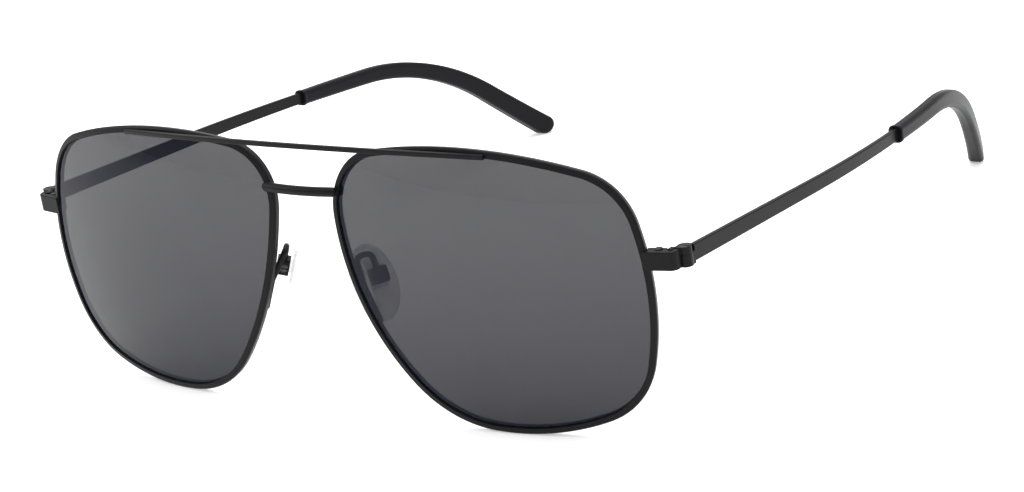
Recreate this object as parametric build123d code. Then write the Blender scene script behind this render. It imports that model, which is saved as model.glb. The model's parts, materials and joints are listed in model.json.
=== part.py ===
from build123d import *
import os
from math import asin, atan2, cos, degrees, radians, sin, sqrt, tan

import numpy as np

# Double-bridge aviator sunglasses: metal front, two lenses, two folding temples, two rocking pads.
#
# Millimetres. +X is the wearer's left, +Y runs from the front back along the temples, +Z is up.
# The design is laid out from the middle of the front, and the finished set is moved at the end so
# that the origin is the middle of its bounding box, on the surface that it stands on.

# Lens outline: box size, gap at the nose, and the four corner radii
lens_width = 58.8
lens_height = 48.2
nose_gap = 14.7
upper_outer_corner = 11.6
upper_inner_corner = 10.0
lower_inner_corner = 20.7
lower_outer_corner = 13.9
# Outward direction of the outline where one arc runs into the next, from the temple side
temple_side_from = -15.8
upper_outer_from = 14.7
brow_from = 75.0
upper_inner_from = 97.8
nose_side_from = 187.1
lower_inner_from = 220.6
chin_from = 265.0
lower_outer_from = 288.2

# Lens body and how the two lens planes stand
face_radius = 109.0
lens_thickness = 1.2
lens_edge_thickness = 0.7
lens_set_back = 0.35
wrap_angle = 6.0
lean_angle = 1.2

# Rim wire
rim_width = 1.25
rim_depth = 1.4
groove_depth = 0.35
rim_edge_round = 0.45
rim_slit = 0.1
slit_reach = 8.0
surface_tolerance = 0.01

# Brow bar across the top
brow_half_length = 39.5
brow_height = 0.85
brow_depth = 0.85
brow_proud = 0.55
brow_below_top = 1.3
brow_bow = 4.4
brow_arch = 1.4
brow_edge_round = 0.2
brow_cut_spare = 1.0

# Bridge between the rims
bridge_diameter = 1.7
bridge_above_centre = 16.35
bridge_sink = 0.3
bridge_bow = 0.6
bridge_reach = 1.35

# End piece, closing blocks and their screw
end_piece_height = 3.2
end_piece_thickness = 1.0
end_piece_above_centre = 6.4
end_piece_set_back = -0.3
end_piece_angle = 10.5
end_piece_reach = 4.58
end_piece_bend = 1.3
end_piece_leg = 1.85
end_piece_lap_length = 1.15
end_piece_lap_depth = 0.3
end_piece_edge_round = 0.15
block_length = 2.6
block_depth = 1.4
block_height = 3.0
closing_screw_along = 1.4
closing_screw_diameter = 0.9
closing_head_diameter = 1.3
closing_head_height = 0.45

# Hinge
knuckle_diameter = 2.4
hinge_height = 3.4
front_knuckle_height = 1.25
hinge_screw_diameter = 1.2
hinge_head_diameter = 1.8
hinge_head_height = 0.5
front_leaf_thickness = 0.85
front_leaf_past_end = 0.35
web_width = 1.15
temple_leaf_thickness = 0.5
temple_leaf_length = 5.5
leaf_height = 2.2

# Temple strip and tip. The end is measured back from the hinge axis, and the lengths from the end
temple_thickness = 1.0
temple_outside_end_piece = 1.0
temple_above_hinge = 0.11
temple_height_at_hinge = 2.9
temple_height_at_tip = 2.2
temple_drop_angle = 3.85
straight_run = 38.6
temple_bow_radius = 300.0
tip_bow_length = 43.0
tip_bow_radius = 144.0
tip_length = 58.0
tail_length = 23.2
temple_bend_radius = 45.0
temple_end_at = 130.1
core_ends_short = 7.0
tip_thickness = 2.5
tip_widening = 0.4
tip_height_at_mouth = 2.9
tip_height_at_end = 3.9
tip_edge_round = 0.85
strip_edge_round = 0.2

# Nose pads, their boxes, screws and arms
pad_width = 8.4
pad_height = 14.0
pad_thickness = 2.4
pad_crown_radius = 20.0
pad_edge_round = 0.4
pad_below_centre = 2.2
pad_inside_rim = 1.33
pad_behind_front = 6.08
pad_splay = 35.0
pad_flare = 18.6
pad_pitch = 8.0
box_wall = 0.45
box_depth = 2.3
box_edge_round = 0.5
box_above_pad_centre = 1.1
box_behind_pad_centre = 0.7
insert_plate_width = 3.0
insert_plate_height = 5.0
insert_plate_thickness = 0.5
boss_width = 1.9
boss_radius = 0.8
boss_side_gap = 0.1
boss_rock_room = 0.25
boss_axis_in_box = 0.9
pad_screw_diameter = 0.9
pad_screw_head = 1.4
arm_diameter = 1.1
arm_foot_low = -6.6
arm_foot_high = -1.5
arm_leg = 2.5
arm_loop = 2.9
arm_loop_bend = 1.25
arm_foot_bend = 2.5

# Clearances
seat_gap = 0.02
running_gap = 0.05
knuckle_gap = 0.12
pad_rock_gap = 0.4
solder_sink = 0.15
slot_width = 0.3
slot_depth = 0.25

rim_overhang = rim_width - groove_depth
lens_spacing = lens_width + nose_gap
cut_length = 40.0
cut_ahead = 2.0
cut_behind = 20.0
cut_spare = 1.0
plan_spare_length = 8.0
outline_depth = face_radius - sqrt(face_radius**2 - (lens_width / 2)**2)


def direction(angle):
    """Unit vector at an angle in degrees."""
    return np.array([cos(radians(angle)), sin(radians(angle))])


def outline_arcs():
    """Centre, radius and end angles of the eight tangent arcs round a lens.

    The corners have their named radii. The four long arcs take the radii that close the outline
    at the lens's width and height.
    """
    starts = [temple_side_from, upper_outer_from, brow_from, upper_inner_from,
              nose_side_from, lower_inner_from, chin_from, lower_outer_from]
    ends = starts[1:] + [temple_side_from + 360]
    radii = [None, upper_outer_corner, None, upper_inner_corner,
             None, lower_inner_corner, None, lower_outer_corner]
    long_arcs = [i for i, radius in enumerate(radii) if radius is None]

    def travel(arc, low, high):
        """Movement along one arc of radius 1 between two directions."""
        first, last = max(starts[arc], low), min(ends[arc], high)
        return direction(last) - direction(first) if last > first else np.zeros(2)

    spans = [(-90, 360, 0, 0), (-90, 360, 1, 0), (0, 180, 0, -lens_width), (90, 270, 1, -lens_height)]
    matrix = []
    target = []
    for low, high, axis, total in spans:
        moves = [travel(arc, low, high)[axis] for arc in range(8)]
        matrix.append([moves[arc] for arc in long_arcs])
        target.append(total - sum(r * m for r, m in zip(radii, moves) if r is not None))
    for arc, radius in zip(long_arcs, np.linalg.solve(matrix, target)):
        radii[arc] = float(radius)

    centres = [np.zeros(2)]
    for arc in range(1, 8):
        centres.append(centres[-1] + (radii[arc - 1] - radii[arc]) * direction(starts[arc]))
    right_most = centres[0][0] + radii[0]
    top_most = centres[2][1] + radii[2]
    shift = np.array([lens_width / 2 - right_most, lens_height / 2 - top_most])
    return [(c + shift, r, a, b) for c, r, a, b in zip(centres, radii, starts, ends)]


ARCS = outline_arcs()


def outline_cone(grow):
    """Lens outline moved outwards by grow, as a cone with its tip at the middle of the ball.

    Its wall meets the curved surface squarely everywhere, as a bent rim wire does.
    """
    faces = []
    for depth in (-cut_ahead, cut_behind):
        scale = (face_radius - depth) / (face_radius - outline_depth)
        edges = [CenterArc(tuple(c * scale), (r + grow) * scale, a, b - a) for c, r, a, b in ARCS]
        faces.append(Pos(0, depth, 0) * (Plane.XZ * make_face(edges)))
    return loft(faces, ruled=True)


def shell(front, back):
    """Part of a ball's skin that lies between two depths behind the front surface."""
    centre = Pos(0, face_radius, 0)
    return centre * (Sphere(face_radius - front) - Sphere(face_radius - back))


def edge_across(height, grow, nose_side):
    """Outline's distance from the lens centre at a height, on its nose or its temple side."""
    for centre, radius, first, last in ARCS:
        rise = (height - centre[1]) / (radius + grow)
        if abs(rise) <= 1:
            angle = degrees(asin(rise))
            angle = 180 - angle if nose_side else angle
            if first <= angle < last or first <= angle + 360 < last:
                return centre[0] + (radius + grow) * cos(radians(angle))
    raise ValueError("no outline at that height")


def face_point(across, up, depth):
    """Point behind the front surface, where the outline's plane has the given coordinates."""
    centre = Vector(0, face_radius, 0)
    ray = (Vector(across, outline_depth, up) - centre).normalized()
    return centre + ray * (face_radius - depth)


lens_half_box = lens_height / 2 + rim_overhang
lowest_point = face_point(0, -lens_half_box, rim_edge_round)
lens_centre_height = -(Rot(X=-lean_angle) * Pos(lowest_point)).position.Z
LENS_PLACE = Pos(lens_spacing / 2, 0, lens_centre_height) * Rot(Z=wrap_angle) * Rot(X=-lean_angle)


def on_face(across, up, depth):
    """Point of the left lens at a depth behind the rim's front surface."""
    return (LENS_PLACE * Pos(face_point(across, up, depth))).position


def rim_point(height, nose_side, inset, depth):
    """Point of the left rim at a height above the lens centre."""
    edge = edge_across(height, rim_overhang, nose_side)
    return on_face(edge + inset if nose_side else edge - inset, height, depth)


def slotted_screw(diameter, length, head_diameter, head_height):
    """Screw along Z with the underside of its head at the origin and a driver slot."""
    shank = Pos(0, 0, -length / 2) * Cylinder(diameter / 2, length)
    head = Pos(0, 0, head_height / 2) * Cylinder(head_diameter / 2, head_height)
    slot = Pos(0, 0, head_height - slot_depth / 2) * Box(head_diameter, slot_width, slot_depth)
    return shank + head - slot


# Front: brow bar and bridge, both shaped symmetrically about the nose

def arched_strip(half_length, rise, centre, width):
    """Flat strip along an arc that passes through centre and falls by rise at both ends."""
    radius = (half_length**2 + rise**2) / (2 * rise)
    turn = degrees(asin(half_length / radius))
    outer = CenterArc((0, centre - radius), radius + width / 2, 90 - turn, 2 * turn)
    inner = CenterArc((0, centre - radius), radius - width / 2, 90 - turn, 2 * turn)
    return make_face([outer, inner, Line(outer @ 0, inner @ 0), Line(outer @ 1, inner @ 1)])


def brow_bar():
    """Thin bar on the fronts of both rims, bowed forwards and arched upwards."""
    top = lens_centre_height + lens_half_box
    end_front = on_face(brow_half_length - lens_spacing / 2, lens_half_box - brow_below_top, 0).Y
    end_centre = end_front - brow_proud + brow_depth / 2
    plan = Plane.XY * mirror(arched_strip(brow_half_length, brow_bow, -end_centre + brow_bow,
                                          brow_depth), about=Plane.XZ)
    front_view = Plane.XZ * arched_strip(brow_half_length + brow_cut_spare, brow_arch,
                                         top - brow_below_top + brow_arch, brow_height)
    bar = extrude(plan, amount=2 * top) & extrude(front_view, amount=cut_length, both=True)
    return fillet(bar.edges().filter_by(lambda edge: edge.length > brow_half_length), brow_edge_round)


def bridge():
    """Round bridge, bowed forwards, with ball ends that lie on the fronts of the rims."""
    end = rim_point(bridge_above_centre, True, bridge_reach - bridge_diameter / 2, 0)
    end = end + Vector(0, bridge_sink - bridge_diameter / 2, 0)
    far = Vector(-end.X, end.Y, end.Z)
    path = ThreePointArc(far, Vector(0, end.Y - bridge_bow, end.Z), end)
    section = Plane(origin=far, z_dir=path % 0) * Circle(bridge_diameter / 2)
    rod = sweep(section, path=path)
    return rod + Pos(end) * Sphere(bridge_diameter / 2) + Pos(far) * Sphere(bridge_diameter / 2)


# Rims and lenses

def lens():
    """Lens with its thinner edge that sits in the rim's groove."""
    edge_front = lens_set_back + (lens_thickness - lens_edge_thickness) / 2
    edge = outline_cone(0) & shell(edge_front, edge_front + lens_edge_thickness)
    visible = outline_cone(-groove_depth - seat_gap) & shell(lens_set_back, lens_set_back + lens_thickness)
    return LENS_PLACE * (edge + visible)


def rim(bar, nose_bridge, strap):
    """Grooved rim wire, slit behind the end piece, with seats for what lies on its front."""
    ring = (outline_cone(rim_overhang) - outline_cone(-groove_depth)) & shell(0, rim_depth)
    edges = ring.edges().filter_by(lambda edge: outer_front_edge(edge))
    ring = fillet(edges, rim_edge_round)
    edge_front = lens_set_back + (lens_thickness - lens_edge_thickness) / 2
    groove = outline_cone(seat_gap) & shell(edge_front - seat_gap,
                                             edge_front + lens_edge_thickness + seat_gap)
    slit = Pos(lens_width / 2, outline_depth, end_piece_above_centre)
    ring = ring - groove - slit * Box(slit_reach, slit_reach, rim_slit)
    return LENS_PLACE * ring - bar - nose_bridge - strap


def outer_front_edge(edge):
    """Whether an edge of the ring lies on its front surface and on its outer wall."""
    middle = edge @ 0.5
    from_centre = (middle - Vector(0, face_radius, 0)).length
    inside = outline_cone(0).is_inside(middle + Vector(0, rim_depth / 2, 0))
    return abs(from_centre - face_radius) < surface_tolerance and not inside


# End piece, closing blocks and hinge. They stand upright, in the plan of the left side.

end_piece_start = rim_point(end_piece_above_centre, False, 0, end_piece_set_back)
leg_face = end_piece_start.X + end_piece_reach
corner_y = end_piece_start.Y + end_piece_reach * tan(radians(end_piece_angle))
leg_end = corner_y + end_piece_leg
middle_z = end_piece_start.Z
axis_x = leg_face
axis_y = leg_end + knuckle_gap + knuckle_diameter / 2
hinge_bottom = middle_z - hinge_height / 2
hinge_top = middle_z + hinge_height / 2
front_knuckle_bottom = hinge_top - front_knuckle_height
temple_knuckle_top = front_knuckle_bottom - running_gap
temple_face = leg_face + temple_outside_end_piece
END_PIECE_PLACE = Pos(end_piece_start) * Rot(Z=end_piece_angle)


def outer_wall():
    """Space inside the rim's outer wall, which the soldered pieces stop at."""
    return LENS_PLACE * outline_cone(rim_overhang)


def end_piece_line(depth):
    """Plan of the end piece's front, or of a line at a depth behind it."""
    start = (END_PIECE_PLACE * Pos(-end_piece_lap_length, depth, 0)).position
    turn_x = leg_face - depth
    turn_y = start.Y + (turn_x - start.X) * tan(radians(end_piece_angle))
    return FilletPolyline((start.X, start.Y), (turn_x, turn_y), (turn_x, leg_end),
                          radius=end_piece_bend - depth)


def end_piece():
    """Strap that laps over the rim's front and turns back towards the hinge."""
    front = end_piece_line(0)
    back = end_piece_line(end_piece_thickness)
    joins = [Line(front @ 0, back @ 0), Line(front @ 1, back @ 1)]
    plan = make_face([*front.edges(), *back.edges(), *joins])
    strap = extrude(Pos(0, 0, middle_z) * plan, amount=end_piece_height / 2, both=True)
    strap = fillet(strap.edges() - strap.edges().filter_by(Axis.Z), end_piece_edge_round)
    return strap - LENS_PLACE * (outline_cone(rim_overhang) & shell(end_piece_lap_depth, cut_behind))


def closing_block(low, high):
    """One half of the block that closes the rim, between two heights."""
    size = (block_length + rim_width, block_depth, high - low)
    place = Pos((block_length - rim_width) / 2, end_piece_thickness + block_depth / 2, (low + high) / 2)
    return END_PIECE_PLACE * place * Box(*size) - outer_wall()


closing_screw_place = END_PIECE_PLACE * Pos(closing_screw_along, end_piece_thickness + block_depth / 2,
                                            block_height / 2 - closing_head_height / 2)


def closing_screw():
    """Screw that pulls the two closing blocks together."""
    length = block_height - closing_head_height
    return closing_screw_place * slotted_screw(closing_screw_diameter, length,
                                               closing_head_diameter, closing_head_height)


def closing_screw_hole():
    """Hole and head recess for the closing screw."""
    length = block_height + cut_spare
    hole = Pos(0, 0, -length / 2) * Cylinder(closing_screw_diameter / 2 + seat_gap, length)
    recess = Pos(0, 0, block_height / 2) * Cylinder(closing_head_diameter / 2 + seat_gap, block_height)
    return closing_screw_place * (hole + recess)


def knuckle(low, high, gap):
    """Hinge barrel, or the room for it, between two heights."""
    return Pos(axis_x, axis_y, (low + high) / 2) * Cylinder(knuckle_diameter / 2 + gap, high - low)


def hinge_screw():
    """Hinge screw: its head turns in the front knuckle and its thread sits in the temple's."""
    length = hinge_height - hinge_head_height
    place = Pos(axis_x, axis_y, hinge_top - hinge_head_height)
    return place * slotted_screw(hinge_screw_diameter, length, hinge_head_diameter, hinge_head_height)


def upright_box(left, right, front, back, low, high):
    """Box between two planes in each direction."""
    middle = Pos((left + right) / 2, (front + back) / 2, (low + high) / 2)
    return middle * Box(right - left, back - front, high - low)


def hinge_front(strap):
    """Upper knuckle on a leaf in the corner behind the end piece."""
    leg_back = leg_face - end_piece_thickness
    corner_back = corner_y + end_piece_thickness
    low, high = middle_z - leaf_height / 2, hinge_top
    leaf = upright_box(leg_back - front_leaf_thickness, leg_back, corner_back, leg_end, low, high)
    link = upright_box(leg_back - front_leaf_thickness, axis_x, leg_end, leg_end + front_leaf_past_end,
                       front_knuckle_bottom, high)
    web = upright_box(axis_x - web_width, axis_x, leg_end, axis_y, front_knuckle_bottom, high)
    barrel = knuckle(front_knuckle_bottom, hinge_top, 0)
    top = Pos(axis_x, axis_y, hinge_top)
    bore = top * Cylinder(hinge_screw_diameter / 2 + running_gap, 2 * hinge_height)
    recess_depth = hinge_head_height + running_gap
    recess = top * Cylinder(hinge_head_diameter / 2 + running_gap, 2 * recess_depth)
    return leaf + link + web + barrel - strap - bore - recess


# Temple: a strip that is curved in plan, cut to its outline as seen from the side

temple_front_y = axis_y + knuckle_diameter / 2 + knuckle_gap
temple_middle_x = temple_face - temple_thickness / 2
temple_z = middle_z + temple_above_hinge
tip_starts_at = temple_end_at - tip_length
tip_bow_at = temple_end_at - tip_bow_length
temple_bend_at = temple_end_at - tail_length
slope = tan(radians(temple_drop_angle))
bend_point = (axis_y + temple_bend_at, temple_z - slope * temple_bend_at)
end_point = (axis_y + temple_end_at, tip_height_at_end / 2)
drop_angle = degrees(atan2(bend_point[1] - end_point[1], end_point[0] - bend_point[0]))


def temple_edge(start_y, offset, widening):
    """One edge of the temple's plan: a straight run, a slight bow and a stronger bow at the tip.

    The offset is from the temple's middle line, and the edge gains the widening along the tip's bow.
    """
    straight_end = Vector(temple_middle_x + offset, axis_y + straight_run)
    bow_radius = temple_bow_radius + offset
    bow_turn = degrees(asin((tip_bow_at - straight_run) / temple_bow_radius))
    bow = CenterArc((straight_end.X - bow_radius, straight_end.Y), bow_radius, 0, bow_turn)
    length = tip_bow_length + plan_spare_length
    tip_radius = 1 / (1 / (tip_bow_radius + offset) - 2 * widening / length**2)
    tip_centre = bow @ 1 - tip_radius * Vector(*direction(bow_turn))
    tip_bow = CenterArc(tuple(tip_centre), tip_radius, bow_turn, degrees(length / tip_radius))
    return [Line((straight_end.X, start_y), tuple(straight_end)), bow, tip_bow]


def temple_plan(thickness, start_y, widening):
    """Plan of the temple as a prism, with each side moved out by the widening at the end."""
    outer = temple_edge(start_y, thickness / 2, widening)
    inner = temple_edge(start_y, -thickness / 2, -widening)
    ends = [Line(outer[0] @ 0, inner[0] @ 0), Line(outer[-1] @ 1, inner[-1] @ 1)]
    return extrude(make_face([*outer, *inner, *ends]), amount=2 * middle_z)


def side_cut(start, height_at_start, height_at_end, end_short):
    """Side view of a temple from a distance behind the hinge to its rounded end, as a prism."""
    along = direction(-temple_drop_angle)
    down = direction(-drop_angle)
    half_turn = (drop_angle - temple_drop_angle) / 2
    across_start = direction(90 - temple_drop_angle)
    across_bend = direction(90 - temple_drop_angle - half_turn) / cos(radians(half_turn))
    across_end = direction(90 - drop_angle)
    first = np.array(bend_point) + along * (start - temple_bend_at) / along[0]
    last = np.array(end_point) - down * end_short
    half_start, half_end = height_at_start / 2, height_at_end / 2
    half_bend = (half_start + half_end) / 2
    upper = FilletPolyline(tuple(first + across_start * half_start),
                           tuple(bend_point + across_bend * half_bend),
                           tuple(last + across_end * half_end), radius=temple_bend_radius + half_bend)
    lower = FilletPolyline(tuple(first - across_start * half_start),
                           tuple(bend_point - across_bend * half_bend),
                           tuple(last - across_end * half_end), radius=temple_bend_radius - half_bend)
    tail = ThreePointArc(upper @ 1, tuple(last + down * half_end), lower @ 1)
    face = make_face([*upper.edges(), *lower.edges(), tail, Line(upper @ 0, lower @ 0)])
    return extrude(Plane.YZ * face, amount=lens_spacing + lens_width)


def core(gap):
    """Narrow end of the temple strip inside the tip, or the room for it."""
    plan = temple_plan(temple_thickness + 2 * gap, temple_front_y, 0)
    return plan & side_cut(tip_starts_at - cut_spare, temple_height_at_tip + 2 * gap,
                           temple_height_at_tip + 2 * gap, core_ends_short - gap)


def temple_strip():
    """Metal strip that narrows from the hinge to the tip, with its core."""
    start_z = temple_z - slope * (temple_front_y - axis_y)
    mouth_y = axis_y + tip_starts_at
    mouth_z = temple_z - slope * tip_starts_at
    half_start, half_mouth = temple_height_at_hinge / 2, temple_height_at_tip / 2
    side = make_face(Polyline((temple_front_y, start_z + half_start), (mouth_y, mouth_z + half_mouth),
                              (mouth_y, mouth_z - half_mouth), (temple_front_y, start_z - half_start),
                              close=True))
    strip = extrude(Plane.YZ * side, amount=lens_spacing + lens_width)
    strip = strip & temple_plan(temple_thickness, temple_front_y, 0)
    edges = strip.edges().filter_by(lambda edge: edge.length > straight_run / 2)
    return fillet(edges, strip_edge_round) + core(0)


def temple_tip():
    """Moulded tip that sleeves over the core."""
    body = temple_plan(tip_thickness, temple_front_y, tip_widening)
    body = body & side_cut(tip_starts_at, tip_height_at_mouth, tip_height_at_end, 0)
    mouth = body.faces().sort_by(Axis.Y)[0]
    edges = body.edges() - mouth.edges()
    return fillet(edges, tip_edge_round) - core(seat_gap)


def hinge_temple():
    """Lower knuckle on a leaf along the inside of the temple."""
    leaf_outer = temple_face - temple_thickness
    leaf_inner = leaf_outer - temple_leaf_thickness
    leaf = upright_box(0, temple_leaf_thickness, 0, temple_leaf_length, -leaf_height / 2, leaf_height / 2)
    leaf = Pos(leaf_inner, temple_front_y, middle_z) * Rot(X=-temple_drop_angle) * leaf
    web = upright_box(leaf_inner, leaf_outer + temple_thickness, axis_y, temple_front_y,
                      hinge_bottom, temple_knuckle_top)
    link = upright_box(leaf_inner, leaf_outer, axis_y, temple_front_y + leaf_height / 2,
                       hinge_bottom, temple_knuckle_top)
    barrel = knuckle(hinge_bottom, temple_knuckle_top, 0)
    room = knuckle(temple_knuckle_top, hinge_top + cut_spare, knuckle_gap)
    thread = Pos(axis_x, axis_y, middle_z) * Cylinder(hinge_screw_diameter / 2 + seat_gap, 2 * hinge_height)
    return leaf + web + link + barrel - room - thread


# Nose pad, drawn face up: X runs towards the front, Y up the pad and Z towards the nose

pad_centre = rim_point(-pad_below_centre, True, -pad_inside_rim, 0) + Vector(0, pad_behind_front, 0)
up_pad = Vector(-sin(radians(pad_flare)), sin(radians(pad_pitch)), cos(radians(pad_flare))).normalized()
back_pad = Vector(sin(radians(pad_splay)), cos(radians(pad_splay)), 0)
towards_nose = up_pad.cross(back_pad).normalized()
PAD_PLACE = Location(Plane(origin=pad_centre, x_dir=up_pad.cross(towards_nose), z_dir=towards_nose))
pad_back = -pad_thickness / 2
box_mouth = pad_back - pad_rock_gap
rock_axis_depth = box_mouth - boss_axis_in_box
box_width = boss_width + 2 * (boss_side_gap + box_wall)
box_height = 2 * (boss_radius + boss_rock_room + box_wall)
BOX_PLACE = PAD_PLACE * Pos(-box_behind_pad_centre, box_above_pad_centre, 0)
ROCK_PLACE = BOX_PLACE * Pos(0, 0, rock_axis_depth)


def along_rock_axis(radius, length):
    """Round bar along the pad's rocking axis."""
    return Pos(0, 0, rock_axis_depth) * Rot(Y=90) * Cylinder(radius, length)


def nose_pad():
    """Clear soft pad with a crowned face and a pocket for its insert."""
    pad = extrude(Ellipse(pad_width / 2, pad_height / 2), amount=pad_thickness / 2, both=True)
    pad = pad & Pos(0, 0, pad_thickness / 2 - pad_crown_radius) * Sphere(pad_crown_radius)
    back_edge = pad.edges().sort_by(Axis.Z)[0]
    pad = fillet(back_edge, pad_edge_round)
    pocket = Pos(-box_behind_pad_centre, box_above_pad_centre, pad_back)
    pocket = pocket * Box(insert_plate_width + 2 * seat_gap, insert_plate_height + 2 * seat_gap,
                          2 * (insert_plate_thickness + seat_gap))
    return PAD_PLACE * (pad - pocket)


def pad_insert():
    """Plate set in the back of the pad, with the boss that rocks in the box."""
    plate = Pos(0, 0, pad_back + insert_plate_thickness / 2)
    plate = plate * Box(insert_plate_width, insert_plate_height, insert_plate_thickness)
    reach = pad_back - rock_axis_depth
    neck = Pos(0, 0, pad_back - reach / 2) * Box(boss_width, 2 * boss_radius, reach)
    bore = along_rock_axis(pad_screw_diameter / 2 + running_gap, box_width)
    return BOX_PLACE * (plate + neck + along_rock_axis(boss_radius, boss_width) - bore)


def pad_box():
    """Open box that holds the pad's boss between two ears."""
    middle = Pos(0, 0, box_mouth - box_depth / 2)
    outside = middle * Box(box_width, box_height, box_depth)
    outside = fillet(outside.edges().filter_by(Axis.Z), box_edge_round)
    inside = middle * Pos(0, 0, box_wall)
    inside = inside * Box(box_width - 2 * box_wall, box_height - 2 * box_wall, box_depth)
    bore = along_rock_axis(pad_screw_diameter / 2 + seat_gap, 2 * box_width)
    head_room = Pos(box_width / 2, 0, 0) * along_rock_axis(pad_screw_head / 2 + seat_gap, box_wall)
    return BOX_PLACE * (outside - inside - bore - head_room)


def pad_screw():
    """Small screw across the box, through the boss."""
    length = box_width - box_wall / 2
    screw = Pos(box_width / 2 - box_wall / 2, 0, rock_axis_depth) * Rot(Y=90)
    return BOX_PLACE * screw * slotted_screw(pad_screw_diameter, length, pad_screw_head, box_wall / 2)


def pad_arm(rim_wire):
    """Wire arm: soldered along the back of the rim, up, over and down into the box."""
    behind = rim_depth + arm_diameter / 2 - solder_sink
    foot = rim_point(arm_foot_low, True, rim_width / 2, behind)
    rise = rim_point(arm_foot_high, True, rim_width / 2, behind)
    entry = (BOX_PLACE * Pos(0, box_height / 2, box_mouth - box_depth / 2)).position
    second = entry + up_pad * arm_leg
    first = second - back_pad * arm_loop
    path = FilletPolyline(foot, rise, first, second, entry,
                          radius=[arm_foot_bend, arm_loop_bend, arm_loop_bend])
    section = Plane(origin=path @ 0, z_dir=path % 0) * Circle(arm_diameter / 2)
    return sweep(section, path=path) + Pos(foot) * Sphere(arm_diameter / 2) - rim_wire


def left_side_and_middle():
    """Every piece of the middle and of the wearer's left side, by name."""
    bar = brow_bar()
    nose_bridge = bridge()
    strap = end_piece()
    wire = rim(bar, nose_bridge, strap)
    upper = closing_block(rim_slit / 2, block_height / 2)
    lower = closing_block(-block_height / 2, -rim_slit / 2)
    middle = {"brow_bar": bar, "bridge": nose_bridge}
    left = {
        "rim": wire,
        "lens": lens(),
        "end_piece": strap,
        "upper_closing_block": upper - closing_screw_hole(),
        "lower_closing_block": lower - closing_screw_hole(),
        "closing_screw": closing_screw(),
        "hinge_front": hinge_front(strap),
        "hinge_screw": hinge_screw(),
        "hinge_temple": hinge_temple(),
        "temple": temple_strip(),
        "temple_tip": temple_tip(),
        "pad_arm": pad_arm(wire),
        "pad_box": pad_box(),
        "pad_screw": pad_screw(),
        "pad_insert": pad_insert(),
        "nose_pad": nose_pad(),
    }
    return middle, left


def build():
    """All nodes in their final place, and the shift from the design's layout to it."""
    middle, left = left_side_and_middle()
    nodes = dict(middle)
    for name, piece in left.items():
        nodes[name + "_left"] = piece
        nodes[name + "_right"] = mirror(piece, about=Plane.YZ)
    box = Compound(children=[Compound(piece.solids()) for piece in nodes.values()]).bounding_box()
    shift = Vector(0, -(box.min.Y + box.max.Y) / 2, -box.min.Z)
    return {name: Pos(shift) * piece for name, piece in nodes.items()}, shift


def main():
    """Write one STEP file for each node and print where the joints are."""
    os.makedirs("parts", exist_ok=True)
    nodes, shift = build()
    for name, piece in nodes.items():
        export_step(piece, f"parts/{name}.step")
    print("hinge axis", Vector(axis_x, axis_y, middle_z) + shift)
    print("rocking axis through", ROCK_PLACE.position + shift, "along", up_pad.cross(towards_nose))


if __name__ == "__main__":
    main()
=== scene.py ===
"""Looks of the double-bridge aviator sunglasses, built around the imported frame. Metres."""
import json
import logging
import math
from dataclasses import dataclass
from enum import Enum
from typing import Callable, Union

import bmesh
import bpy
from mathutils import Matrix, Vector

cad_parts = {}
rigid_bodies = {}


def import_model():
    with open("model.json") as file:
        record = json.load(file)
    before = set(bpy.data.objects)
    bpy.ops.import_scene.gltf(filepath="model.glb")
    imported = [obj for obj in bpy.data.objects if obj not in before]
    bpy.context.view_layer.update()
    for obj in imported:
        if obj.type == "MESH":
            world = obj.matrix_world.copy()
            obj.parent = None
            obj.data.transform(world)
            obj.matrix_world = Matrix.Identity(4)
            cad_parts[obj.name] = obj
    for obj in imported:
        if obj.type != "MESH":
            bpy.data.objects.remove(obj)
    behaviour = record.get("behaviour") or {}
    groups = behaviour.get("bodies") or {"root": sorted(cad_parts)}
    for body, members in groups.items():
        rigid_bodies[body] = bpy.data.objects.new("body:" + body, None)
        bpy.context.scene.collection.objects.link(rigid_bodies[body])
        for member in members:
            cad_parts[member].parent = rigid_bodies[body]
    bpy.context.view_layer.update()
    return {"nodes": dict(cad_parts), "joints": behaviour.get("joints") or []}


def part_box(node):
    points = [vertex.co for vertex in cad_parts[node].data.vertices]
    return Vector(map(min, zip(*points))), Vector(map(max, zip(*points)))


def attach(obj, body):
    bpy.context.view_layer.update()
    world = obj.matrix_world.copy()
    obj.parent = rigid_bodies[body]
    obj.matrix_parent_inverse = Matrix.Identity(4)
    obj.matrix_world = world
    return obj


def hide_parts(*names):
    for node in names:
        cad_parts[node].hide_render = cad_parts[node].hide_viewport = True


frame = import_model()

MILLIMETRE = 0.001
BEVEL_SAMPLES = 6
UPRIGHT = 0.9
LEVEL = 0.1
LOG = logging.getLogger("sunglasses")


class Side(Enum):
    """A side of the wearer, with its sign along X."""

    LEFT = 1
    RIGHT = -1

    @property
    def word(self) -> str:
        """Name of the side, as the nodes and the bodies spell it."""
        return self.name.lower()

    def place(self, x: float, y: float, z: float) -> Vector:
        """Point of this side that mirrors the left side's point."""
        return Vector((self.value * x, y, z))


# ---------------------------------------------------------------------------- shader tools


Number = Union[float, "Value"]


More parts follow.
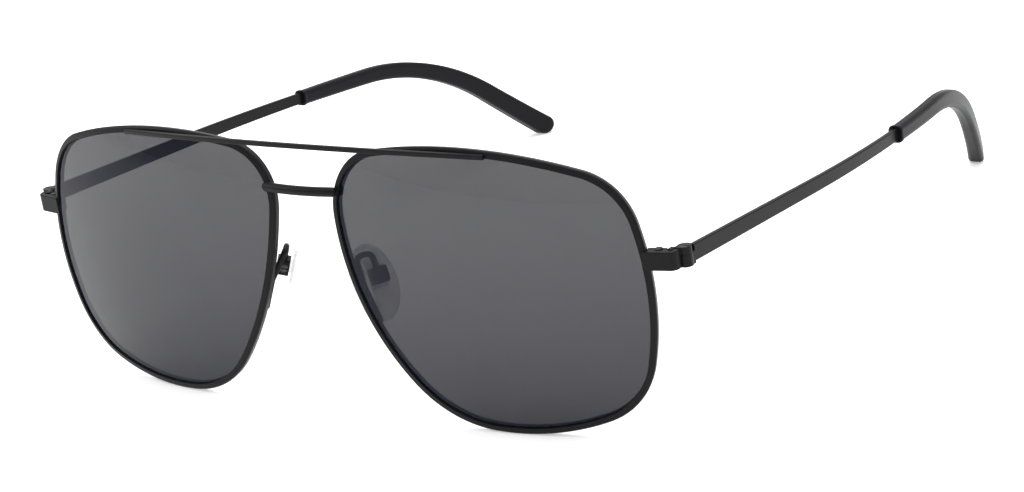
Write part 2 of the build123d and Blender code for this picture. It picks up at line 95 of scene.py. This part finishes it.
class Value:
    """A number that varies over a surface and takes Python's arithmetic."""

    def __init__(self, shader: "Shader", socket: bpy.types.NodeSocket) -> None:
        """Wrap a socket.

        Args:
            shader: Material that the socket belongs to.
            socket: Output socket with the number.
        """
        self.shader = shader
        self.socket = socket

    def _maths(self, operation: str, first: Number, second: Number) -> "Value":
        """Join two numbers with a Math node.

        Args:
            operation: Name of the Math node's operation.
            first: Left-hand number.
            second: Right-hand number.

        Returns:
            The result.
        """
        node = self.shader.node("ShaderNodeMath", {"operation": operation}, {0: first, 1: second})
        return Value(self.shader, node.outputs[0])

    def __add__(self, other: Number) -> "Value":
        """self + other."""
        return self._maths("ADD", self, other)

    __radd__ = __add__

    def __sub__(self, other: Number) -> "Value":
        """self - other."""
        return self._maths("SUBTRACT", self, other)

    def __rsub__(self, other: Number) -> "Value":
        """other - self."""
        return self._maths("SUBTRACT", other, self)

    def __mul__(self, other: Number) -> "Value":
        """self * other."""
        return self._maths("MULTIPLY", self, other)

    __rmul__ = __mul__

    def __truediv__(self, other: Number) -> "Value":
        """self / other."""
        return self._maths("DIVIDE", self, other)

    def __rtruediv__(self, other: Number) -> "Value":
        """other / self."""
        return self._maths("DIVIDE", other, self)

    def __pow__(self, other: Number) -> "Value":
        """self ** other."""
        return self._maths("POWER", self, other)

    def __rpow__(self, other: Number) -> "Value":
        """other ** self."""
        return self._maths("POWER", other, self)

    def clamped(self) -> "Value":
        """This number kept between 0 and 1."""
        node = self.shader.node("ShaderNodeClamp", {}, {"Value": self})
        return Value(self.shader, node.outputs[0])


Colour = tuple[float, float, float]


class Shader:
    """One material: a Principled surface and the nodes that feed it."""

    def __init__(self, name: str) -> None:
        """Make an empty material with a Principled surface.

        Args:
            name: Name of the material.
        """
        self.material = bpy.data.materials.new(name)
        self.material.use_nodes = True
        self.tree = self.material.node_tree
        self.tree.nodes.clear()
        self.surface = self.node("ShaderNodeBsdfPrincipled")
        self.node("ShaderNodeOutputMaterial", {}, {"Surface": self.surface.outputs["BSDF"]})

    def node(self, kind: str, settings: dict | None = None,
             inputs: dict | None = None) -> bpy.types.Node:
        """Add a node.

        Args:
            kind: Type of the node.
            settings: Properties to set first.
            inputs: Numbers, colours or links for its sockets, by name, identifier or index.

        Returns:
            The node.
        """
        node = self.tree.nodes.new(kind)
        for name, setting in (settings or {}).items():
            setattr(node, name, setting)
        for name, value in (inputs or {}).items():
            self.feed(self._socket(node, name), value)
        return node

    @staticmethod
    def _socket(node: bpy.types.Node, name: str | int) -> bpy.types.NodeSocket:
        """Find an input socket of a node.

        Args:
            node: Node to look in.
            name: Index, name or identifier.

        Returns:
            The socket.
        """
        if isinstance(name, int):
            return node.inputs[name]
        return next(s for s in node.inputs if s.identifier == name or (s.enabled and s.name == name))

    def feed(self, socket: bpy.types.NodeSocket, value: object) -> None:
        """Link or set a socket.

        Args:
            socket: Input socket.
            value: Output socket, Value, number or colour.
        """
        if isinstance(value, Value):
            value = value.socket
        if isinstance(value, bpy.types.NodeSocket):
            self.tree.links.new(value, socket)
        elif isinstance(value, tuple) and len(value) == 3 and socket.type == "RGBA":
            socket.default_value = (*value, 1.0)
        else:
            socket.default_value = value

    def set(self, **sockets: object) -> None:
        """Set the surface's sockets.

        Args:
            **sockets: Values by socket name, with underscores for spaces.
        """
        for name, value in sockets.items():
            self.feed(self.surface.inputs[name.replace("_", " ")], value)

    def place(self, centre: Vector | None = None) -> bpy.types.NodeSocket:
        """Object coordinates, from a centre of the pattern.

        Args:
            centre: Point that becomes the pattern's origin.

        Returns:
            Vector socket.
        """
        coordinates = self.node("ShaderNodeTexCoord").outputs["Object"]
        if centre is None:
            return coordinates
        mapping = self.node("ShaderNodeMapping", {"vector_type": "POINT"},
                            {"Vector": coordinates, "Location": tuple(-centre)})
        return mapping.outputs["Vector"]

    def axis(self, letter: str) -> Value:
        """One Object coordinate in metres.

        Args:
            letter: X, Y or Z.

        Returns:
            The coordinate.
        """
        split = self.node("ShaderNodeSeparateXYZ", {}, {"Vector": self.place()})
        return Value(self, split.outputs[letter])

    def noise(self, size: float, detail: float = 3.0, roughness: float = 0.5) -> Value:
        """Noise between 0 and 1.

        Args:
            size: Size of a patch, in metres.
            detail: Number of finer layers.
            roughness: Strength of the finer layers.

        Returns:
            The noise.
        """
        node = self.node("ShaderNodeTexNoise", {"noise_dimensions": "3D"},
                         {"Vector": self.place(), "Scale": 1.0 / size, "Detail": detail,
                          "Roughness": roughness})
        return Value(self, node.outputs["Fac"])

    def blend(self, factor: Number, first: Colour, second: Colour) -> bpy.types.NodeSocket:
        """Blend of two colours.

        Args:
            factor: 0 for the first colour, 1 for the second.
            first: First colour.
            second: Second colour.

        Returns:
            Colour socket.
        """
        node = self.node("ShaderNodeMix", {"data_type": "RGBA"},
                         {"Factor_Float": factor, "A_Color": (*first, 1.0), "B_Color": (*second, 1.0)})
        return next(s for s in node.outputs if s.identifier == "Result_Color")

    def bump(self, height: Number, depth: float, edge_round: float = 0.0) -> bpy.types.NodeSocket:
        """Normal of a surface with a fine relief.

        Args:
            height: Relief between 0 and 1.
            depth: Height of the relief in metres.
            edge_round: Radius in metres that sharp edges are softened to, or 0.

        Returns:
            Normal socket.
        """
        inputs: dict = {"Height": height, "Distance": depth, "Strength": 1.0}
        if edge_round:
            bevel = self.node("ShaderNodeBevel", {"samples": BEVEL_SAMPLES}, {"Radius": edge_round})
            inputs["Normal"] = bevel.outputs[0]
        return self.node("ShaderNodeBump", {}, inputs).outputs["Normal"]


# ---------------------------------------------------------------------------- finishes


@dataclass(frozen=True)
class SatinBlackCoat:
    """Thin satin black coat over metal, slightly cloudy, with a fine orange-peel grain."""

    name: str = "satin_black_coat"
    dark: Colour = (0.004, 0.004, 0.0045)
    light: Colour = (0.011, 0.0105, 0.012)
    roughness: float = 0.33
    gloss: float = 0.11
    cloud_size: float = 0.004
    grain_size: float = 0.00012
    grain_depth: float = 0.0000025
    edge_round: float = 0.00012
    cloud_share: float = 0.7
    cloud_detail: float = 4.0
    grain_detail: float = 2.0
    cloud_roughness: float = 0.10
    grain_roughness: float = 0.08

    def material(self) -> bpy.types.Material:
        """Make the material.

        Returns:
            The material.
        """
        shader = Shader(self.name)
        cloud = shader.noise(self.cloud_size, self.cloud_detail)
        grain = shader.noise(self.grain_size, self.grain_detail)
        mixed = cloud * self.cloud_share + grain * (1.0 - self.cloud_share)
        unevenness = self.cloud_roughness * (cloud - 0.5) + self.grain_roughness * (grain - 0.5)
        shader.set(Base_Color=shader.blend(mixed, self.dark, self.light),
                   Roughness=self.roughness + unevenness,
                   Normal=shader.bump(grain, self.grain_depth, self.edge_round),
                   Specular_IOR_Level=self.gloss)
        return shader.material


@dataclass(frozen=True)
class MouldedBlack:
    """Moulded black plastic with a soft sheen and a very fine texture."""

    name: str = "moulded_black"
    dark: Colour = (0.005, 0.005, 0.0062)
    light: Colour = (0.011, 0.011, 0.013)
    roughness: float = 0.36
    gloss: float = 0.09
    cloud_size: float = 0.006
    grain_size: float = 0.00018
    grain_depth: float = 0.000004
    detail: float = 3.0
    grain_sharpness: float = 0.6
    grain_roughness: float = 0.12

    def material(self) -> bpy.types.Material:
        """Make the material.

        Returns:
            The material.
        """
        shader = Shader(self.name)
        cloud = shader.noise(self.cloud_size, self.detail)
        grain = shader.noise(self.grain_size, self.detail, self.grain_sharpness)
        shader.set(Base_Color=shader.blend(cloud * 0.5 + grain * 0.5, self.dark, self.light),
                   Roughness=self.roughness + self.grain_roughness * (grain - 0.5),
                   Normal=shader.bump(grain, self.grain_depth),
                   Specular_IOR_Level=self.gloss)
        return shader.material


@dataclass(frozen=True)
class TintedLens:
    """Neutral grey lens, with painted shade that makes it a little darker towards its lower edge."""

    name: str = "tinted_lens"
    tint: Colour = (0.005, 0.0055, 0.015)
    # alpha_at_bottom above alpha_at_top is painted shade: the lens grows darker towards its lower
    # edge.
    alpha_at_top: float = 0.722
    alpha_at_bottom: float = 0.84
    fade: float = 0.50
    gloss: float = 0.15
    roughness: float = 0.015
    mottle: float = 0.012
    mottle_size: float = 0.012
    mottle_detail: float = 2.0
    wipe_size: float = 0.036
    wipe_detail: float = 5.0
    wipe_roughness: float = 0.02

    def material(self, low: float, high: float) -> bpy.types.Material:
        """Make the material.

        Args:
            low: Height of the lens's lower edge.
            high: Height of its upper edge.

        Returns:
            The material.
        """
        shader = Shader(self.name)
        # Painted shade: alpha rises from the top down, so the lens is less see-through and darker the
        # lower it is.
        rise = ((shader.axis("Z") - low) / (high - low)).clamped()
        painted_shade_spread = self.alpha_at_top - self.alpha_at_bottom
        alpha = self.alpha_at_bottom + painted_shade_spread * rise ** self.fade
        alpha = alpha + self.mottle * (shader.noise(self.mottle_size, self.mottle_detail) - 0.5)
        wipe = shader.noise(self.wipe_size, self.wipe_detail)
        shader.set(Base_Color=self.tint, Alpha=alpha.clamped(),
                   Roughness=self.roughness + self.wipe_roughness * wipe,
                   Specular_IOR_Level=self.gloss)
        return shader.material


@dataclass(frozen=True)
class ClearSoftPad:
    """Clear silicone: nearly invisible face on, cloudier at its edges, with a wet gloss."""

    name: str = "clear_silicone"
    colour: Colour = (0.56, 0.57, 0.59)
    alpha_face: float = 0.23
    alpha_edge: float = 0.60
    edge_blend: float = 0.35
    edge_sharpness: float = 1.6
    roughness: float = 0.06
    haze_size: float = 0.002
    haze_detail: float = 3.0
    haze_alpha: float = 0.05
    haze_roughness: float = 0.08
    wave_size: float = 0.0009
    wave_detail: float = 2.0
    wave_depth: float = 0.00001
    refraction: float = 1.43

    def material(self) -> bpy.types.Material:
        """Make the material.

        Returns:
            The material.
        """
        shader = Shader(self.name)
        weight = shader.node("ShaderNodeLayerWeight", {}, {"Blend": self.edge_blend})
        facing = Value(shader, weight.outputs["Facing"])
        haze = shader.noise(self.haze_size, self.haze_detail)
        alpha = self.alpha_face + (self.alpha_edge - self.alpha_face) * facing ** self.edge_sharpness
        waves = shader.noise(self.wave_size, self.wave_detail)
        shader.set(Base_Color=self.colour, Alpha=(alpha + self.haze_alpha * (haze - 0.5)).clamped(),
                   Roughness=self.roughness + self.haze_roughness * haze,
                   Normal=shader.bump(waves, self.wave_depth),
                   IOR=self.refraction)
        return shader.material


@dataclass(frozen=True)
class BlackenedSteel:
    """Blackened steel screw with turning rings round its axis."""

    name: str = "blackened_steel"
    dark: Colour = (0.028, 0.028, 0.032)
    light: Colour = (0.085, 0.085, 0.092)
    ring_pitch: float = 0.00009
    ring_wave: float = 0.16
    ring_distortion: float = 0.6
    ring_detail: float = 1.0
    ring_share: float = 0.5
    ring_depth: float = 0.000004
    stain_size: float = 0.0006
    stain_detail: float = 3.0
    stain_roughness: float = 0.12
    metallic: float = 0.85
    roughness: float = 0.30

    def material(self, node: str, centre: Vector) -> bpy.types.Material:
        """Make the material of one screw.

        Args:
            node: Name of the screw.
            centre: Point on the screw's axis.

        Returns:
            The material.
        """
        shader = Shader(f"{self.name}_{node}")
        rings = shader.node("ShaderNodeTexWave", {"wave_type": "RINGS", "rings_direction": "Z"},
                            {"Vector": shader.place(centre), "Scale": self.ring_wave / self.ring_pitch,
                             "Distortion": self.ring_distortion, "Detail": self.ring_detail})
        ring = Value(shader, rings.outputs["Fac"])
        stain = shader.noise(self.stain_size, self.stain_detail)
        mixed = self.ring_share * ring + (1.0 - self.ring_share) * stain
        shader.set(Base_Color=shader.blend(mixed, self.dark, self.light),
                   Metallic=self.metallic, Roughness=self.roughness + self.stain_roughness * stain,
                   Normal=shader.bump(ring, self.ring_depth))
        return shader.material


@dataclass(frozen=True)
class ClearPlastic:
    """Clear hard plastic of the insert in a pad's back."""

    name: str = "clear_plastic"
    colour: Colour = (0.62, 0.63, 0.65)
    alpha: float = 0.34
    haze_size: float = 0.0008
    haze_detail: float = 3.0
    haze_alpha: float = 0.12
    haze_roughness: float = 0.1
    roughness: float = 0.12
    refraction: float = 1.49

    def material(self) -> bpy.types.Material:
        """Make the material.

        Returns:
            The material.
        """
        shader = Shader(self.name)
        haze = shader.noise(self.haze_size, self.haze_detail)
        shader.set(Base_Color=self.colour, Alpha=self.alpha + self.haze_alpha * (haze - 0.5),
                   Roughness=self.roughness + self.haze_roughness * haze, IOR=self.refraction)
        return shader.material


@dataclass(frozen=True)
class PaleFloor:
    """Plain pale floor."""

    name: str = "pale_floor"
    colour: Colour = (0.93, 0.93, 0.93)
    glow: float = 0.36
    roughness: float = 0.7
    refraction: float = 1.3

    def material(self) -> bpy.types.Material:
        """Make the material.

        Returns:
            The material.
        """
        shader = Shader(self.name)
        shader.set(Base_Color=self.colour, Roughness=self.roughness, IOR=self.refraction,
                   Emission_Color=self.colour, Emission_Strength=self.glow)
        return shader.material


# ---------------------------------------------------------------------------- modelling tools


def deselect() -> None:
    """Deselect every object."""
    for thing in bpy.context.view_layer.objects.selected:
        thing.select_set(False)


def activate(piece: bpy.types.Object) -> None:
    """Make a piece the only selected and the active object.

    Args:
        piece: The piece.
    """
    deselect()
    piece.select_set(True)
    bpy.context.view_layer.objects.active = piece


def dress(piece: bpy.types.Object, material: bpy.types.Material) -> None:
    """Give a piece one material."""
    piece.data.materials.clear()
    piece.data.materials.append(material)


class Modeller:
    """Edit mode on one piece, with faces and edges picked by their place."""

    def __init__(self, name: str) -> None:
        """Take the primitive that was just added.

        Args:
            name: Name of the new piece.
        """
        self.piece = bpy.context.object
        self.piece.name = name
        self.piece.data.name = name
        bpy.ops.object.transform_apply(location=True, rotation=True, scale=True)
        bpy.ops.object.mode_set(mode="EDIT")

    def pick_faces(self, chosen: Callable[[bmesh.types.BMFace], bool]) -> None:
        """Select the faces that a test accepts.

        Args:
            chosen: Test of a face.
        """
        bpy.ops.mesh.select_mode(type="FACE")
        bpy.ops.mesh.select_all(action="DESELECT")
        mesh = bmesh.from_edit_mesh(self.piece.data)
        for face in mesh.faces:
            face.select = chosen(face)
        bmesh.update_edit_mesh(self.piece.data)

    def pick_edges(self, chosen: Callable[[bmesh.types.BMEdge], bool]) -> None:
        """Select the edges that a test accepts.

        Args:
            chosen: Test of an edge.
        """
        bpy.ops.mesh.select_mode(type="EDGE")
        bpy.ops.mesh.select_all(action="DESELECT")
        mesh = bmesh.from_edit_mesh(self.piece.data)
        for edge in mesh.edges:
            edge.select = chosen(edge)
        bmesh.update_edit_mesh(self.piece.data)

    def inset(self, width: float, rise: float) -> None:
        """Inset the selected face and move its middle.

        Args:
            width: Width of the border.
            rise: Height of the middle above it.
        """
        bpy.ops.mesh.inset(thickness=width, depth=0.0)
        bpy.ops.transform.translate(value=(0.0, 0.0, rise))

    def extrude(self, rise: float) -> None:
        """Extrude the selected face along Z by a length."""
        bpy.ops.mesh.extrude_region_move(TRANSFORM_OT_translate={"value": (0.0, 0.0, rise)})

    def finish(self, place: Matrix, levels: int) -> bpy.types.Object:
        """Leave edit mode, smooth the piece and put it in place.

        Args:
            place: Matrix that takes the piece to its place.
            levels: Subdivision levels.

        Returns:
            The piece, at the origin with its place in its mesh.
        """
        bpy.ops.mesh.select_all(action="SELECT")
        bpy.ops.mesh.normals_make_consistent(inside=False)
        bpy.ops.object.mode_set(mode="OBJECT")
        activate(self.piece)
        if levels:
            modifier = self.piece.modifiers.new("subdivision", "SUBSURF")
            modifier.levels = levels
            modifier.render_levels = levels
            bpy.ops.object.modifier_apply(modifier=modifier.name)
        self.piece.matrix_world = place
        bpy.ops.object.transform_apply(location=True, rotation=True, scale=True)
        bpy.ops.object.shade_smooth()
        return self.piece


def span(node: str, direction: Vector) -> tuple[float, float]:
    """Lowest and highest place of a CAD node along a direction.

    Args:
        node: Name of the node.
        direction: Unit vector.

    Returns:
        The two distances from the origin.
    """
    places = [direction.dot(vertex.co) for vertex in frame["nodes"][node].data.vertices]
    return min(places), max(places)


def joint_named(name: str) -> dict:
    """The record's joint of that name."""
    return next(joint for joint in frame["joints"] if joint["name"] == name)


# ---------------------------------------------------------------------------- sub-assemblies


@dataclass
class NosePads:
    """Clear crowned pads that replace the plain ones, with a rolled edge and a dished back."""

    finish: ClearSoftPad = ClearSoftPad()
    insert_finish: ClearPlastic = ClearPlastic()
    points: int = 40
    edge_height: float = 1.25 * MILLIMETRE
    lean: float = math.radians(18.6)
    pitch: float = math.radians(8.0)
    smoothing: int = 2
    slack: float = 0.1 * MILLIMETRE
    crown: tuple[tuple[float, float], ...] = ((0.55, 0.42), (0.9, 0.33), (1.0, 0.16), (0.9, 0.05))
    dish: tuple[tuple[float, float], ...] = ((0.45, -0.12), (0.5, 0.10), (0.7, 0.08))

    def axes(self, side: Side) -> tuple[Vector, Vector, Vector]:
        """Directions across the pad, up it and out of its face.

        Args:
            side: Side of the wearer.

        Returns:
            Three unit vectors, right-handed.
        """
        rocking = Vector(joint_named(f"nose_pad_rock_{side.word}")["axis"])
        upwards = side.place(-math.sin(self.lean), math.sin(self.pitch), math.cos(self.lean))
        upwards = (upwards - upwards.dot(rocking) * rocking).normalized()
        across = rocking.normalized()
        outwards = across.cross(upwards)
        if outwards.x * side.value > 0:
            across = -across
            outwards = -outwards
        return across, upwards, outwards

    def shape(self, side: Side) -> bpy.types.Object:
        """Model one pad.

        Args:
            side: Side of the wearer.

        Returns:
            The pad in place.
        """
        node = f"nose_pad_{side.word}"
        across, upwards, outwards = self.axes(side)
        spans = [span(node, direction) for direction in (across, upwards, outwards)]
        width, height, depth = (high - low for low, high in spans)
        deselect()
        bpy.ops.mesh.primitive_cylinder_add(vertices=self.points, radius=0.5, depth=self.edge_height)
        pad = Modeller(f"soft_{node}")
        bpy.ops.mesh.select_all(action="SELECT")
        bpy.ops.transform.resize(value=(width, height, 1.0))
        pad.pick_faces(lambda face: face.normal.z > UPRIGHT)
        top = 0.0
        for border, rise in self.crown:
            pad.inset(border * MILLIMETRE, rise * MILLIMETRE)
            top += rise * MILLIMETRE
        pad.pick_faces(lambda face: face.normal.z < -UPRIGHT)
        for border, rise in self.dish:
            pad.inset(border * MILLIMETRE, rise * MILLIMETRE)
        back = outwards * (spans[2][0] + self.edge_height / 2 - self.dish[0][1] * MILLIMETRE)
        centre = across * sum(spans[0]) / 2 + upwards * sum(spans[1]) / 2 + back
        stretch = (depth - self.slack) / (self.edge_height + top)
        place = Matrix((across, upwards, outwards * min(stretch, 1.0))).transposed().to_4x4()
        place.translation = centre
        return pad.finish(place, self.smoothing)

    def build(self) -> None:
        """Model, dress and attach both pads, hide the plain ones and dress their inserts."""
        clear = self.finish.material()
        plastic = self.insert_finish.material()
        for side in Side:
            piece = self.shape(side)
            dress(piece, clear)
            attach(piece, f"{side.word}_pad")
            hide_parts(f"nose_pad_{side.word}")
            dress(frame["nodes"][f"pad_insert_{side.word}"], plastic)
            LOG.info("nose pad %s: %d faces", side.word, len(piece.data.polygons))


@dataclass
class TempleTips:
    """Moulded tips and the raised collar round each tip's mouth."""

    finish: MouldedBlack = MouldedBlack()
    slope: float = math.radians(3.85)
    proud: float = 0.14 * MILLIMETRE
    length: float = 0.75 * MILLIMETRE
    ahead: float = 0.2 * MILLIMETRE
    corner: float = 0.95 * MILLIMETRE
    lip: float = 0.42 * MILLIMETRE
    recess: float = 0.3 * MILLIMETRE
    reach: float = 0.02 * MILLIMETRE
    corner_segments: int = 6
    edge_segments: int = 3

    def mouth(self, side: Side) -> tuple[Vector, float, float, Vector]:
        """Middle, width, height and direction of a tip's mouth.

        Args:
            side: Side of the wearer.

        Returns:
            Centre, width along X, height, and the direction back along the temple.
        """
        back = Vector((0.0, math.cos(self.slope), -math.sin(self.slope)))
        node = f"temple_tip_{side.word}"
        start = span(node, back)[0]
        places = [vertex.co for vertex in frame["nodes"][node].data.vertices]
        rim = [place for place in places if back.dot(place) < start + self.reach]
        rise = Vector((0.0, math.sin(self.slope), math.cos(self.slope)))
        lows = [min(point.x for point in rim), min(rise.dot(point) for point in rim)]
        highs = [max(point.x for point in rim), max(rise.dot(point) for point in rim)]
        middle = [(low + high) / 2 for low, high in zip(lows, highs)]
        centre = Vector((middle[0], 0.0, 0.0)) + rise * middle[1] + back * start
        return centre, highs[0] - lows[0], highs[1] - lows[1], back

    def collar(self, side: Side) -> bpy.types.Object:
        """Model the collar round one mouth.

        Args:
            side: Side of the wearer.

        Returns:
            The collar in place.
        """
        centre, width, height, back = self.mouth(side)
        deselect()
        bpy.ops.mesh.primitive_cube_add(size=1.0)
        bpy.context.object.scale = (width + 2 * self.proud, height + 2 * self.proud, self.length)
        collar = Modeller(f"tip_collar_{side.word}")
        half = self.length / 2
        collar.pick_edges(lambda edge: abs(edge.verts[0].co.z - edge.verts[1].co.z) > half)
        bpy.ops.mesh.bevel(offset=self.corner, segments=self.corner_segments, affect="EDGES")
        collar.pick_faces(lambda face: face.normal.z < -UPRIGHT)
        collar.inset(self.lip, 0.0)
        collar.extrude(self.recess)
        collar.pick_edges(self._is_rim)
        bpy.ops.mesh.bevel(offset=self.proud, segments=self.edge_segments, affect="EDGES")
        across = Vector((1.0, 0.0, 0.0))
        place = Matrix((across, back.cross(across), back)).transposed().to_4x4()
        place.translation = centre + back * (half - self.ahead)
        return collar.finish(place, 0)

    @staticmethod
    def _is_rim(edge: bmesh.types.BMEdge) -> bool:
        """Whether an edge lies between an end face and a wall."""
        normals = [abs(face.normal.z) for face in edge.link_faces]
        return len(normals) == 2 and max(normals) > UPRIGHT and min(normals) < LEVEL

    def build(self) -> None:
        """Dress both tips and model their collars."""
        black = self.finish.material()
        for side in Side:
            dress(frame["nodes"][f"temple_tip_{side.word}"], black)
            piece = self.collar(side)
            dress(piece, black)
            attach(piece, f"{side.word}_temple_arm")
            LOG.info("tip collar %s: %d faces", side.word, len(piece.data.polygons))


@dataclass
class Lenses:
    """Tinted lenses."""

    finish: TintedLens = TintedLens()

    def build(self) -> None:
        """Dress both lenses."""
        low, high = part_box("lens_left")
        tinted = self.finish.material(low.z, high.z)
        for side in Side:
            dress(frame["nodes"][f"lens_{side.word}"], tinted)
            LOG.info("lens %s dressed", side.word)


@dataclass
class MetalFrame:
    """Coated metal pieces of the front, the hinges and the temples."""

    finish: SatinBlackCoat = SatinBlackCoat()
    plain: tuple[str, ...] = ("brow_bar", "bridge")
    paired: tuple[str, ...] = ("rim", "end_piece", "upper_closing_block", "lower_closing_block",
                               "hinge_front", "hinge_temple", "temple", "pad_arm", "pad_box")

    def build(self) -> None:
        """Dress every coated piece."""
        black = self.finish.material()
        names = [*self.plain, *(f"{name}_{side.word}" for name in self.paired for side in Side)]
        for name in names:
            dress(frame["nodes"][name], black)
        LOG.info("coated pieces: %d", len(names))


@dataclass
class Screws:
    """Blackened screws."""

    finish: BlackenedSteel = BlackenedSteel()
    names: tuple[str, ...] = ("closing_screw", "hinge_screw", "pad_screw")

    def build(self) -> None:
        """Dress every screw."""
        for name in self.names:
            for side in Side:
                node = f"{name}_{side.word}"
                low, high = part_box(node)
                dress(frame["nodes"][node], self.finish.material(node, (low + high) / 2))
        LOG.info("screws: %d", len(self.names) * len(Side))


# ---------------------------------------------------------------------------- studio


@dataclass(frozen=True)
class Lamp:
    """Soft square light."""

    name: str
    place: tuple[float, float, float]
    aim: tuple[float, float, float]
    size: float
    power: float

    def hang(self) -> None:
        """Hang the light."""
        data = bpy.data.lights.new(self.name, "AREA")
        data.size = self.size
        data.energy = self.power
        lamp = bpy.data.objects.new(self.name, data)
        bpy.context.scene.collection.objects.link(lamp)
        lamp.location = self.place
        aim = Vector(self.aim) - Vector(self.place)
        lamp.rotation_euler = aim.to_track_quat("-Z", "Y").to_euler()


@dataclass
class Studio:
    """Pale floor, soft lights and the camera."""

    floor_finish: PaleFloor = PaleFloor()
    floor_size: float = 8.0
    camera_place: tuple[float, float, float] = (0.3259, -0.42589, 0.1940)
    camera_shift: tuple[float, float] = (-0.0009, -0.0006)
    camera_turn: float = math.radians(38.33)
    camera_dip: float = math.radians(19.31)
    camera_roll: float = math.radians(-9.29)
    focal_length: float = 104.5
    sensor_width: float = 36.0
    nearest: float = 0.01
    farthest: float = 20.0
    sky: float = 0.80
    lamps: tuple[Lamp, ...] = (
        Lamp("overhead", (0.0, 0.25, 1.3), (0.0, 0.0, 0.0), 1.2, 14.0),
        Lamp("left_window", (-1.1, -0.5, 0.8), (0.0, 0.0, 0.02), 0.7, 4.0),
        Lamp("right_window", (1.3, 0.6, 0.9), (0.0, 0.0, 0.02), 0.7, 4.0),
    )

    def floor(self) -> None:
        """Lay the floor."""
        deselect()
        bpy.ops.mesh.primitive_plane_add(size=self.floor_size)
        floor = bpy.context.object
        floor.name = "floor"
        dress(floor, self.floor_finish.material())

    def world(self) -> None:
        """Fill the room with even white light."""
        world = bpy.data.worlds.new("studio")
        world.use_nodes = True
        background = world.node_tree.nodes["Background"]
        background.inputs["Color"].default_value = (1.0, 1.0, 1.0, 1.0)
        background.inputs["Strength"].default_value = self.sky
        bpy.context.scene.world = world
        bpy.context.scene.view_settings.view_transform = "Standard"

    def camera(self) -> None:
        """Place the camera."""
        turn, dip, roll = self.camera_turn, self.camera_dip, self.camera_roll
        ahead = Vector((-math.sin(turn) * math.cos(dip), math.cos(turn) * math.cos(dip),
                        -math.sin(dip)))
        level = Vector((math.cos(turn), math.sin(turn), 0.0))
        upright = level.cross(ahead)
        right = level * math.cos(roll) + upright * math.sin(roll)
        up = upright * math.cos(roll) - level * math.sin(roll)
        data = bpy.data.cameras.new("camera")
        data.lens = self.focal_length
        data.sensor_width = self.sensor_width
        data.shift_x, data.shift_y = self.camera_shift
        data.clip_start = self.nearest
        data.clip_end = self.farthest
        camera = bpy.data.objects.new("camera", data)
        bpy.context.scene.collection.objects.link(camera)
        turned = Matrix((right, up, -ahead)).transposed().to_4x4()
        camera.matrix_world = Matrix.Translation(self.camera_place) @ turned
        bpy.context.scene.camera = camera

    def build(self) -> None:
        """Set the whole studio up."""
        self.floor()
        self.world()
        for lamp in self.lamps:
            lamp.hang()
        self.camera()
        LOG.info("studio ready")


def main() -> None:
    """Build every sub-assembly in order."""
    logging.basicConfig(level=logging.INFO, format="%(name)s: %(message)s")
    for part in (Studio(), MetalFrame(), Screws(), Lenses(), TempleTips(), NosePads()):
        part.build()


if __name__ == "__main__":
    main()
